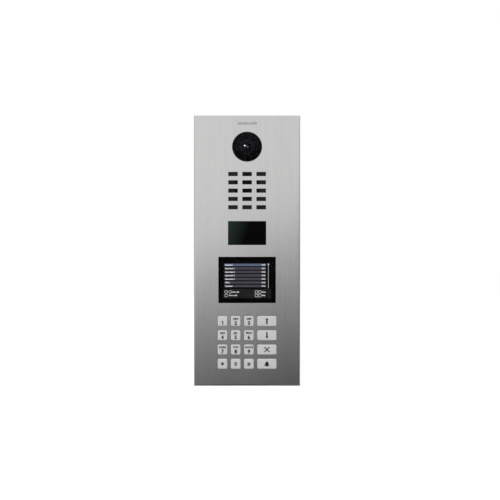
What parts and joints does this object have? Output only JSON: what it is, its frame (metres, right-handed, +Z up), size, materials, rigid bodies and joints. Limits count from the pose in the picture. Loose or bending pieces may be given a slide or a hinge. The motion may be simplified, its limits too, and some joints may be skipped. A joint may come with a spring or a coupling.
{
  "type": "door intercom panel",
  "caption": "Flush door intercom panel: brushed steel face with camera dome, sound slots, sensor window, display and sprung metal keypad over a sheet-metal wall box.",
  "frame": {"origin": "centre of the wall box's rear outer face, midway between its wall screw holes", "axes": "the front faces -Y, +Y points into the wall, +X is right when seen from the front and +Z is up"},
  "size_m": [0.142, 0.06, 0.361],
  "materials": {
    "brushed_stainless": "upright brushed grain, satin",
    "satin_key_metal": "satin cast metal with black legends",
    "plated_hardware": "zinc plated",
    "galvanised_sheet": "galvanised, faint spangle",
    "black_steel": "black coating",
    "black_anodised": "black anodised",
    "black_foam": "closed-cell foam",
    "black_rubber": "matt rubber",
    "grey_silicone": "matt silicone",
    "black_plastic": "fine moulded texture",
    "tinted_dome": "glossy smoked polycarbonate",
    "black_window": "glossy black acrylic",
    "display_glass": "glossy toughened glass with a black border",
    "coated_lens": "coated glass",
    "circuit_board": "green solder mask",
    "infrared_lamp": "smoked epoxy",
    "dark_mesh": "black woven wire",
    "speaker_paper": "pressed paper",
    "display_module": "lit screen",
    "terminal_green": "moulded",
    "grey_ribbon": "flat cable jacket"
  },
  "bodies": {
    "panel": {"front_panel": "brushed_stainless", "panel_studs": "plated_hardware", "stud_nuts": "plated_hardware", "panel_hooks": "galvanised_sheet", "wall_brackets": "galvanised_sheet", "security_screws": "plated_hardware", "rim_gasket": "black_foam", "back_box": "galvanised_sheet", "conduit_grommets": "black_rubber", "camera_dome": "tinted_dome", "foam_seals": "black_foam", "camera_housing": "black_plastic", "lens_hood": "black_rubber", "lens_barrel": "black_anodised", "front_lens": "coated_lens", "image_sensor_board": "circuit_board", "infrared_led_board": "circuit_board", "infrared_leds": "infrared_lamp", "speaker_mesh": "dark_mesh", "speaker_carrier": "black_plastic", "speaker_basket": "black_steel", "speaker_cone": "speaker_paper", "speaker_magnet": "black_steel", "microphone": "plated_hardware", "microphone_boot": "black_rubber", "sensor_window": "black_window", "window_frame": "black_plastic", "reader_board": "circuit_board", "motion_sensor": "plated_hardware", "display_glass": "display_glass", "lcd_panel": "display_module", "display_frame": "black_plastic", "display_board": "circuit_board", "keypad_frame": "black_plastic", "keypad_mat": "grey_silicone", "keypad_board": "circuit_board", "chassis_plate": "galvanised_sheet", "main_board": "circuit_board", "network_jack": "plated_hardware", "terminal_blocks": "terminal_green", "processor_shield": "plated_hardware", "ribbon_cables": "grey_ribbon", "rear_cover": "galvanised_sheet"},
    "key_1": {"key_1": "satin_key_metal"},
    "key_2": {"key_2": "satin_key_metal"},
    "key_3": {"key_3": "satin_key_metal"},
    "key_4": {"key_4": "satin_key_metal"},
    "key_5": {"key_5": "satin_key_metal"},
    "key_6": {"key_6": "satin_key_metal"},
    "key_7": {"key_7": "satin_key_metal"},
    "key_8": {"key_8": "satin_key_metal"},
    "key_9": {"key_9": "satin_key_metal"},
    "key_star": {"key_star": "satin_key_metal"},
    "key_0": {"key_0": "satin_key_metal"},
    "key_hash": {"key_hash": "satin_key_metal"},
    "key_up": {"key_up": "satin_key_metal"},
    "key_down": {"key_down": "satin_key_metal"},
    "key_cancel": {"key_cancel": "satin_key_metal"},
    "key_bell": {"key_bell": "satin_key_metal"}
  },
  "joints": [
    {"name": "key_1_press", "type": "slide", "parent": "panel", "child": "key_1", "axis": [0, 1, 0], "range_m": [0, 0.0012], "stiffness_N_per_m": 900, "springref_m": -0.0005, "deforming": ["keypad_mat"]},
    {"name": "key_2_press", "type": "slide", "parent": "panel", "child": "key_2", "axis": [0, 1, 0], "range_m": [0, 0.0012], "stiffness_N_per_m": 900, "springref_m": -0.0005},
    {"name": "key_3_press", "type": "slide", "parent": "panel", "child": "key_3", "axis": [0, 1, 0], "range_m": [0, 0.0012], "stiffness_N_per_m": 900, "springref_m": -0.0005},
    {"name": "key_4_press", "type": "slide", "parent": "panel", "child": "key_4", "axis": [0, 1, 0], "range_m": [0, 0.0012], "stiffness_N_per_m": 900, "springref_m": -0.0005},
    {"name": "key_5_press", "type": "slide", "parent": "panel", "child": "key_5", "axis": [0, 1, 0], "range_m": [0, 0.0012], "stiffness_N_per_m": 900, "springref_m": -0.0005},
    {"name": "key_6_press", "type": "slide", "parent": "panel", "child": "key_6", "axis": [0, 1, 0], "range_m": [0, 0.0012], "stiffness_N_per_m": 900, "springref_m": -0.0005},
    {"name": "key_7_press", "type": "slide", "parent": "panel", "child": "key_7", "axis": [0, 1, 0], "range_m": [0, 0.0012], "stiffness_N_per_m": 900, "springref_m": -0.0005},
    {"name": "key_8_press", "type": "slide", "parent": "panel", "child": "key_8", "axis": [0, 1, 0], "range_m": [0, 0.0012], "stiffness_N_per_m": 900, "springref_m": -0.0005},
    {"name": "key_9_press", "type": "slide", "parent": "panel", "child": "key_9", "axis": [0, 1, 0], "range_m": [0, 0.0012], "stiffness_N_per_m": 900, "springref_m": -0.0005},
    {"name": "key_star_press", "type": "slide", "parent": "panel", "child": "key_star", "axis": [0, 1, 0], "range_m": [0, 0.0012], "stiffness_N_per_m": 900, "springref_m": -0.0005},
    {"name": "key_0_press", "type": "slide", "parent": "panel", "child": "key_0", "axis": [0, 1, 0], "range_m": [0, 0.0012], "stiffness_N_per_m": 900, "springref_m": -0.0005},
    {"name": "key_hash_press", "type": "slide", "parent": "panel", "child": "key_hash", "axis": [0, 1, 0], "range_m": [0, 0.0012], "stiffness_N_per_m": 900, "springref_m": -0.0005},
    {"name": "key_up_press", "type": "slide", "parent": "panel", "child": "key_up", "axis": [0, 1, 0], "range_m": [0, 0.0012], "stiffness_N_per_m": 900, "springref_m": -0.0005},
    {"name": "key_down_press", "type": "slide", "parent": "panel", "child": "key_down", "axis": [0, 1, 0], "range_m": [0, 0.0012], "stiffness_N_per_m": 900, "springref_m": -0.0005},
    {"name": "key_cancel_press", "type": "slide", "parent": "panel", "child": "key_cancel", "axis": [0, 1, 0], "range_m": [0, 0.0012], "stiffness_N_per_m": 900, "springref_m": -0.0005},
    {"name": "key_bell_press", "type": "slide", "parent": "panel", "child": "key_bell", "axis": [0, 1, 0], "range_m": [0, 0.0012], "stiffness_N_per_m": 900, "springref_m": -0.0005}
  ]
}
